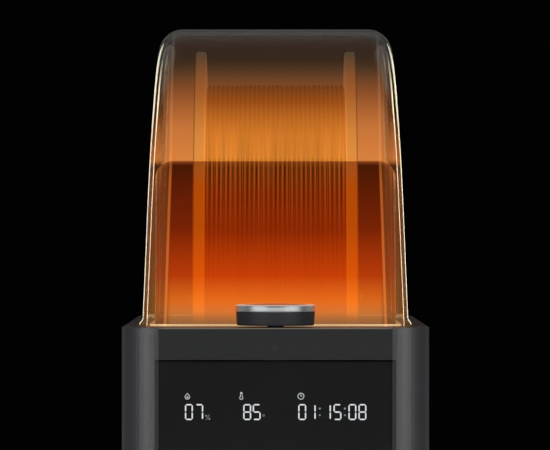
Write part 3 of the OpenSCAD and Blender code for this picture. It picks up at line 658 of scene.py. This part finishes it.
def spool_material():
    m = Mat("spool_plastic")
    pos = m.world_pos()
    # painted glow: emission colour by height, standing in for the chamber's light on the spool
    col = m.height_ramp(pos.outputs["Z"], [
        (150, lin(214, 124, 14)), (187, lin(252, 134, 20)), (200, lin(234, 150, 70)), (208, lin(224, 141, 64)),
        (223, lin(172, 100, 46)), (240, lin(82, 66, 50))])
    fine = m.noise(260.0, 3.0, 0.5)
    p = m.bsdf(lin(92, 44, 20), 0.45, 0.0, Specular_IOR_Level=0.3)
    m.link(col, p.inputs["Emission Color"])
    # painted glow: the rims and the faces toward the turns glow more, the outer sides less
    g = m.node("ShaderNodeNewGeometry")
    sn = m.node("ShaderNodeSeparateXYZ")
    m.link(g.outputs["Normal"], sn.inputs[0])
    own = m.object_pos()
    sign = m.math("SIGN", own.outputs["X"])
    outward = m.math("MULTIPLY", sn.outputs["X"], sign)
    m.link(m.maprange(outward, 0.3, 0.8, 1.0, 0.42), p.inputs["Emission Strength"])
    m.bump(fine, 0.15, 0.0002, p)
    m.link(m.mix_color(fine, lin(64, 30, 13), lin(78, 38, 18)), p.inputs["Base Color"])
    return m.surface(p.outputs[0])


SPOOL = spool_material()
for n in ("spool_flange_left", "spool_flange_right", "spool_hub"):
    softened(n, "spool", 0.12, 2, 35)
    paint(bpy.data.objects[n + "_piece"], SPOOL)


# ---------------------------------------------------------------- front air guide
def guide_material():
    m = Mat("amber_guide")
    pos = m.object_pos()
    # painted glow: emission bright along its foot, fading upwards
    col = m.height_ramp(pos.outputs["Z"], [
        (135.5, lin(176, 122, 78)), (139.5, lin(204, 126, 62)), (144.5, lin(220, 112, 32)), (154, lin(182, 60, 8)),
        (172, lin(110, 30, 3)), (197, lin(38, 14, 2))])
    e = m.node("ShaderNodeEmission")
    g = m.node("ShaderNodeNewGeometry")
    sp = m.node("ShaderNodeSeparateXYZ")
    m.link(g.outputs["Normal"], sp.inputs[0])
    # painted highlight: the cut edge along the top and down the rounded corners glows light orange
    ny = m.math("ABSOLUTE", sp.outputs["Y"])
    edge = m.maprange(ny, 0.2, 0.75, 1.0, 0.0, smooth=True)
    edge = m.math("MULTIPLY", edge, m.maprange(pos.outputs["Z"], 0.184, 0.194, smooth=True))
    m.link(m.mix_color(edge, col, lin(255, 176, 92)), e.inputs["Color"])
    # painted glow: the rounded upright corners take less of the amber painted glow, and a flat brown painted glow of
    # their own
    side = m.maprange(m.math("ABSOLUTE", pos.outputs["X"]), 0.0390, 0.0415, 0.0, 1.0, smooth=True)
    m.link(m.maprange(side, 0.0, 1.0, 0.62, 0.22), e.inputs["Strength"])
    e2 = m.node("ShaderNodeEmission")
    e2.inputs["Color"].default_value = lin(104, 58, 26)
    m.link(m.math("MULTIPLY", side, 0.5), e2.inputs["Strength"])
    t = m.node("ShaderNodeBsdfTransparent")
    foot = m.maprange(pos.outputs["Z"], 0.1355, 0.1415, smooth=True)
    m.link(m.mix_color(foot, (0.22, 0.17, 0.14), (0.66, 0.55, 0.52)), t.inputs["Color"])
    add0 = m.node("ShaderNodeAddShader")
    m.link(t.outputs[0], add0.inputs[0])
    m.link(e.outputs[0], add0.inputs[1])
    add = m.node("ShaderNodeAddShader")
    m.link(add0.outputs[0], add.inputs[0])
    m.link(e2.outputs[0], add.inputs[1])
    gl = m.bsdf((1.0, 0.9, 0.8), 0.06, 1.0)
    m.link(m.maprange(m.noise(30.0, 2.0, 0.5), 0.3, 0.7, 0.05, 0.09), gl.inputs["Roughness"])
    mix = m.node("ShaderNodeMixShader")
    m.link(m.gloss_share(0.04, 0.1), mix.inputs[0])
    m.link(add.outputs[0], mix.inputs[1])
    m.link(gl.outputs[0], mix.inputs[2])
    return m.surface(mix.outputs[0])


guide = softened("front_air_guide", "base", 0.5, 3, 40, "amber_guide")
paint(guide, guide_material())

# ---------------------------------------------------------------- dark inner plastic, with a painted glow by height standing in for the heater's light from below
def inner_material(name, glow=0.25):
    m = Mat(name)
    pos = m.world_pos()
    # painted glow: emission colour by height, only inside the chamber
    col = m.height_ramp(pos.outputs["Z"], [
        (26, lin(150, 52, 8)), (90, lin(130, 46, 8)), (138, lin(186, 92, 30)), (150, lin(150, 58, 12)),
        (165, lin(100, 34, 6)), (194, lin(66, 26, 5))])
    p = m.bsdf(lin(58, 36, 26), 0.5)
    n = m.noise(300.0, 3.0, 0.5)
    m.bump(n, 0.25, 0.0003, p)
    m.link(col, p.inputs["Emission Color"])
    ax = m.math("ABSOLUTE", pos.outputs["X"])
    lit = m.math("MULTIPLY", m.math("LESS_THAN", ax, 0.0405), m.math("GREATER_THAN", pos.outputs["Y"], -0.1035))
    lit = m.math("MULTIPLY", lit, m.math("GREATER_THAN", pos.outputs["Z"], 0.0279))
    m.link(m.math("MULTIPLY", lit, glow), p.inputs["Emission Strength"])
    m.link(m.mix_color(n, lin(46, 28, 20), lin(66, 42, 30)), p.inputs["Base Color"])
    return m.surface(p.outputs[0])


INNER = inner_material("heated_plastic", 0.35)
for n in ("chamber_tub", "rear_air_duct", "heater_shroud"):
    paint(NODES[n], INNER)

# ---------------------------------------------------------------- base housing and front
HOUSING = moulded("graphite_housing", lin(47, 48, 50)[:3], 0.42, 0.3, 0.06, 0.5)
TRIM = moulded("graphite_trim", lin(26, 27, 28)[:3], 0.5, 0.3, 0.06, 0.27)
DARK = moulded("dark_fitting", lin(30, 30, 32)[:3], 0.45, 0.4, 0.08)
paint(united("base_housing", ("base_side_left", "base_side_right", "base_deck", "hinge_deck", "base_rear_panel", "base_front_sill"),
             "base", 0.4, 2, 50), HOUSING)
for n, w in (("front_trim", 0.45), ("front_fascia", 0.4), ("bottom_cover", 0.3)):
    paint(softened(n, "base", w, 2, 45), TRIM)


def trim_painted_highlight(base, rough):
    """The trim's plastic, with a painted highlight: emission along its upper edge, fainter toward the sides."""
    m = Mat("graphite_trim_upper")
    p = m.bsdf(base, rough, Specular_IOR_Level=0.27)
    fine = m.noise(900.0, 2.0, 0.55)
    m.bump(fine, 0.15, 0.00025, p)
    m.link(m.maprange(fine, 0.3, 0.7, rough - 0.03, rough + 0.04), p.inputs["Roughness"])
    pos = m.object_pos()
    up = m.maprange(pos.outputs["Z"], 0.1345, 0.1349)
    mid = m.maprange(m.math("ABSOLUTE", pos.outputs["X"]), 0.040, 0.048, 1.0, 0.2)
    p.inputs["Emission Color"].default_value = lin(116, 108, 95)
    m.link(m.math("MULTIPLY", m.math("MULTIPLY", up, mid), 0.85), p.inputs["Emission Strength"])
    m.link(m.mix_color(m.noise(14.0, 3.0, 0.5), tuple(c * 0.94 for c in base), tuple(c * 1.06 for c in base)), p.inputs["Base Color"])
    return m.surface(p.outputs[0])


paint(bpy.data.objects["front_trim_piece"], trim_painted_highlight(lin(24, 25, 26)[:3], 0.5))
for n, body, w in (("hinge_brackets", "base", 0.3), ("cover_hinge_lugs", "cover", 0.3)):
    paint(softened(n, body, w, 2, 45), HOUSING)
for n, w in (("power_inlet", 0.25), ("switch_frame", 0.2), ("vent_grille", 0.25), ("outlet_coupler", 0.25), ("blower_housing", 0.3), ("display_module", 0.2), ("encoder_body", 0.2)):
    paint(softened(n, "base", w, 2, 45), DARK)
paint(softened("switch_rocker", "switch_rocker", 0.3, 2, 40), DARK)
paint(softened("vent_shutter", "vent_shutter", 0.2, 2, 40), TRIM)
paint(softened("blower_rotor", "blower_rotor", 0.0, 2, 40), DARK)

m = Mat("display_window")
p = m.bsdf(lin(27, 27, 28)[:3], 0.12, 0.0, Specular_IOR_Level=0.5, Coat_Weight=0.4, Coat_Roughness=0.03)
n = m.noise(40.0, 2.0, 0.5)
r = m.maprange(n, 0.3, 0.7, 0.10, 0.16)
m.link(r, p.inputs["Roughness"])
paint(softened("display_glass", "base", 0.08, 1, 45), m.surface(p.outputs[0]))


def light_material(name, color, strength, dim_below=None):
    m = Mat(name)
    p = m.bsdf((0.05, 0.05, 0.05), 0.4)
    n = m.noise(500.0, 2.0, 0.5)
    s = m.maprange(n, 0.3, 0.7, strength * 0.94, strength * 1.04)
    p.inputs["Emission Color"].default_value = color
    if dim_below:  # the small unit marks are fainter
        s = m.math("MULTIPLY", s, m.maprange(m.object_pos().outputs["Z"], dim_below - 0.001, dim_below, 0.3, 1.0))
    m.link(s, p.inputs["Emission Strength"])
    return m.surface(p.outputs[0])


paint(NODES["display_digits"], light_material("lit_segments", lin(212, 217, 221), 1.0))
paint(NODES["display_icons"], light_material("lit_icons", lin(186, 192, 196), 0.85, 0.106))
paint(NODES["status_light"], moulded("status_lens", lin(38, 39, 41)[:3], 0.3, 0.1, 0.05))

# ---------------------------------------------------------------- knob
def brushed_rim():
    m = Mat("turned_aluminium")
    p = m.bsdf((0.60, 0.62, 0.63), 0.3, 1.0, Anisotropic=0.6)
    n = m.noise(1.0, 3.0, 0.6, m.scaled(60.0, 60.0, 9000.0))
    m.bump(n, 0.12, 0.00008, p)
    r = m.maprange(n, 0.3, 0.7, 0.22, 0.36)
    m.link(r, p.inputs["Roughness"])
    # painted highlight: a warm emissive line on the chamfer around the face, standing in for a reflection
    own = m.object_pos()
    dy = m.math("SUBTRACT", own.outputs["Y"], KNOB_Y * MM)
    far = m.math("SQRT", m.math("ADD", m.math("MULTIPLY", own.outputs["X"], own.outputs["X"]), m.math("MULTIPLY", dy, dy)))
    ring = m.math("MULTIPLY", m.maprange(far, 0.0113, 0.0130), m.maprange(own.outputs["Z"], 0.14292, 0.14325))
    e = m.node("ShaderNodeEmission")
    m.link(m.height_ramp(own.outputs["Z"], [(143.0, lin(196, 188, 180)), (143.3, lin(206, 190, 174)), (143.45, lin(226, 198, 168))]), e.inputs["Color"])
    mix = m.node("ShaderNodeMixShader")
    m.link(m.math("MULTIPLY", ring, 0.78), mix.inputs[0])
    m.link(p.outputs[0], mix.inputs[1])
    m.link(e.outputs[0], mix.inputs[2])
    return m.surface(mix.outputs[0])


def lathe(name, profile, cx, cy, segs, body, replaces):
    verts, faces = [], []
    for r, z in profile:
        for i in range(segs):
            a = 2 * math.pi * i / segs
            verts.append(((cx + r * math.cos(a)) * MM, (cy + r * math.sin(a)) * MM, z * MM))
    n = len(profile)
    faces = grid_faces(n, segs, wrap=True)
    faces.append(tuple(range(segs)))
    faces.append(tuple((n - 1) * segs + i for i in range(segs - 1, -1, -1)))
    me = bpy.data.meshes.new(name)
    me.from_pydata(verts, [], faces)
    bm = bmesh.new()
    bm.from_mesh(me)
    bmesh.ops.recalc_face_normals(bm, faces=bm.faces)
    bm.to_mesh(me)
    bm.free()
    smooth(me, 28)
    return new_object(name, me, body, replaces)


cap = lathe("knob_rim", [(13.0, 140.8), (14.75, 140.8), (14.88, 140.95), (14.9, 141.1), (14.9, 143.0), (14.82, 143.18), (14.6, 143.3), (14.2, 143.38),
                         (13.6, 143.44), (13.4, 143.4), (13.3, 143.36), (10.0, 143.62), (6.0, 143.74), (2.0, 143.79), (0.3, 143.8)],
            0.0, KNOB_Y, 128, "knob", ("knob_cap",))
paint(cap, brushed_rim())
body_piece = lathe("knob_skirt", [(3.0, 140.79), (3.0, 135.71), (13.7, 135.71), (14.05, 135.76), (14.25, 135.9), (14.37, 136.15), (14.42, 136.5),
                                  (14.46, 137.1), (14.55, 139.0), (14.66, 140.5), (14.64, 140.79)], 0.0, KNOB_Y, 128, "knob", ("knob_body",))
paint(body_piece, moulded("knob_plastic", lin(34, 34, 37)[:3], 0.55, 0.5, 0.05, 0.15))

# ---------------------------------------------------------------- small parts
RUBBER = moulded("rubber", lin(24, 24, 25)[:3], 0.8, 0.6, 0.1, 0.3, 500.0)
GREEN = moulded("solder_mask", lin(20, 92, 48)[:3], 0.35, 0.2, 0.15)
STEEL = metal("bright_steel", (0.6, 0.61, 0.63), 0.28, (1, 1, 1), 0.2)
ROLLER = moulded("roller_plastic", lin(70, 66, 64)[:3], 0.35, 0.2, 0.08)
for n, body in (("front_roller_tyres", "front_roller"), ("rear_roller_tyres", "rear_roller"), ("rubber_feet", "base")):
    paint(softened(n, body, 0.25, 2, 45), RUBBER)
for n, body in (("front_roller", "front_roller"), ("rear_roller", "rear_roller"), ("roller_cradle", "base")):
    paint(softened(n, body, 0.25, 2, 45), ROLLER)
for n in ("roller_axles", "front_roller_bearings", "rear_roller_bearings", "hinge_pins", "bottom_screws"):
    paint(NODES[n], STEEL)
paint(NODES["encoder_shaft"], moulded("dark_shaft", lin(22, 22, 23)[:3], 0.6, 0.2, 0.05, 0.2))
paint(NODES["encoder_plunger"], moulded("dark_plunger", lin(22, 22, 23)[:3], 0.6, 0.2, 0.05, 0.2))
for n in ("display_board", "main_board", "power_supply", "humidity_sensor"):
    paint(NODES[n], GREEN)
paint(NODES["ptc_heater"], metal("heater_fins", (0.55, 0.56, 0.57), 0.4, (1, 1, 30), 0.2))
paint(NODES["ribbon_cable"], moulded("ribbon", lin(200, 200, 192)[:3], 0.5, 0.2, 0.05))
paint(NODES["mains_leads"], moulded("lead_sleeve", lin(96, 50, 36)[:3], 0.4, 0.2, 0.05))
paint(NODES["outlet_tube"], moulded("guide_tube", lin(228, 228, 222)[:3], 0.35, 0.1, 0.03))
paint(NODES["outlet_collet"], moulded("collet", lin(52, 92, 158)[:3], 0.35, 0.1, 0.05))

# the silicone seal, with a painted glow along it standing in for light from the chamber, strongest at the front
m = Mat("silicone_seal")
p = m.bsdf(lin(190, 170, 140)[:3], 0.4)
n = m.noise(120.0, 2.0, 0.5)
s = m.math("MULTIPLY", m.maprange(n, 0.3, 0.7, 0.66, 0.78), m.maprange(m.object_pos().outputs["Y"], -0.106, -0.092, 1.0, 0.12))
p.inputs["Emission Color"].default_value = lin(214, 178, 128)
m.link(s, p.inputs["Emission Strength"])
paint(softened("lid_gasket", "base", 0.4, 2, 45), m.surface(p.outputs[0]))

# ---------------------------------------------------------------- stage
def disc(name, radius, segs=96):
    me = bpy.data.meshes.new(name)
    rings = [0.0, 0.15, 0.3, 0.6, 0.9, 1.2, radius]
    verts = [(0, 0, 0)]
    faces = []
    for r in rings[1:]:
        for i in range(segs):
            a = 2 * math.pi * i / segs
            verts.append((r * math.cos(a), r * math.sin(a), 0))
    for i in range(segs):
        faces.append((0, 1 + i, 1 + (i + 1) % segs))
    for k in range(len(rings) - 2):
        for i in range(segs):
            a, b = 1 + k * segs + i, 1 + k * segs + (i + 1) % segs
            faces.append((a, a + segs, b + segs, b))
    me.from_pydata(verts, [], faces)
    return me


floor = bpy.data.objects.new("floor", disc("floor", 1.5))
scene.collection.objects.link(floor)
m = Mat("floor")
p = m.bsdf((0.8, 0.8, 0.8), 0.7)
m.link(m.mix_color(m.noise(3.0), (0.77, 0.77, 0.765), (0.82, 0.82, 0.815)), p.inputs["Base Color"])
paint(floor, m.surface(p.outputs[0]))

world = bpy.data.worlds.new("world")
scene.world = world
world.use_nodes = True
world.node_tree.nodes["Background"].inputs["Color"].default_value = (0.0006, 0.0006, 0.0006, 1)
world.node_tree.nodes["Background"].inputs["Strength"].default_value = 1.0


def area(name, loc, target, sx, sy, power, color=(1, 1, 1), spread=None):
    d = bpy.data.lights.new(name, "AREA")
    d.shape = "RECTANGLE"
    d.size, d.size_y = sx, sy
    d.energy = power
    d.color = color
    if spread:
        d.spread = math.radians(spread)
    o = bpy.data.objects.new(name, d)
    o.location = loc
    o.rotation_euler = (Vector(target) - Vector(loc)).to_track_quat("-Z", "Y").to_euler()
    o.visible_camera = False
    scene.collection.objects.link(o)
    return o


def linked(light, objects, state):
    """Limits a light to the objects, or keeps it off them."""
    group = bpy.data.collections.new("lit_by_" + light.name)
    for o in objects:
        group.objects.link(o)
    for c in group.collection_objects:
        c.light_linking.link_state = state
    light.light_linking.receiver_collection = group


CLEAR = [cover, guide]
CHAMBER = [filament] + [bpy.data.objects[n + "_piece"] for n in ("spool_flange_left", "spool_flange_right", "spool_hub")]
for side, sx in (("left", -1), ("right", 1)):
    linked(area("soft_" + side, (sx * 0.92, -1.2, 0.5), (0, -0.05, 0.12), 1.0, 1.1, 15.5), CLEAR + CHAMBER + [floor, cap], "EXCLUDE")
    linked(area("back_" + side, (sx * 0.9, 1.0, 0.35), (0, 0, 0.12), 0.5, 0.6, 0.22), CLEAR + CHAMBER + [floor, cap], "EXCLUDE")
    # soft strips beside and behind, which only the clear cover mirrors
    linked(area("cover_rim_" + side, (sx * 0.46, 1.0, 0.2), (0, -0.1, 0.2), 0.42, 0.55, 2.6, (1.0, 0.965, 0.73)), CLEAR, "INCLUDE")
    linked(area("cover_crown_" + side, (sx * 0.62, 0.9, 1.05), (0, -0.1, 0.2), 0.7, 0.7, 0.85, (1.0, 0.97, 0.93)), CLEAR, "INCLUDE")
    # softer panels for the turned metal of the knob
    linked(area("knob_side_" + side, (sx * 0.88, -0.85, 0.3), (0, -0.12, 0.14), 0.9, 0.8, 2.4), [cap, body_piece], "INCLUDE")
    linked(area("knob_rear_" + side, (sx * 0.95, 0.3, 0.3), (0, -0.12, 0.14), 0.8, 0.8, 0.6), [cap, body_piece], "INCLUDE")
linked(area("knob_front", (0, -2.5, 0.35), (0, -0.12, 0.14), 3.0, 1.0, 7.5), [cap], "INCLUDE")
glare = area("knob_glare", (0, 1.5, 0.23), (0, -0.12, 0.14), 1.6, 0.4, 2.0, (1.0, 0.86, 0.74))
linked(glare, [cap], "INCLUDE")
only = bpy.data.collections.new("shaded_by_the_knob")
only.objects.link(cap)
for c in only.collection_objects:
    c.light_linking.link_state = "INCLUDE"
glare.light_linking.blocker_collection = only
linked(area("cover_top", (0, 1.2, 1.1), (0, 0, 0.15), 1.6, 1.0, 0.66), CLEAR, "INCLUDE")
linked(area("cover_back", (0, 1.6, 0.63), (0, 0, 0.2), 1.5, 0.6, 0.42), CLEAR, "INCLUDE")
# a low panel behind, for the rear panel and its fittings alone
REAR = ("base_rear_panel", "power_inlet", "switch_frame", "switch_rocker", "vent_grille", "vent_shutter", "outlet_coupler", "outlet_collet",
        "outlet_tube", "hinge_brackets", "hinge_pins", "cover_hinge_lugs")
linked(area("rear_low", (0, 1.7, 0.062), (0, 0.14, 0.062), 1.4, 0.1, 11), [o for o in bpy.data.objects if o.type == "MESH" and o.name.startswith(REAR)], "INCLUDE")
linked(area("overhead", (0, 0, 2.0), (0, 0, 0), 2.4, 2.4, 22), CLEAR + CHAMBER, "EXCLUDE")
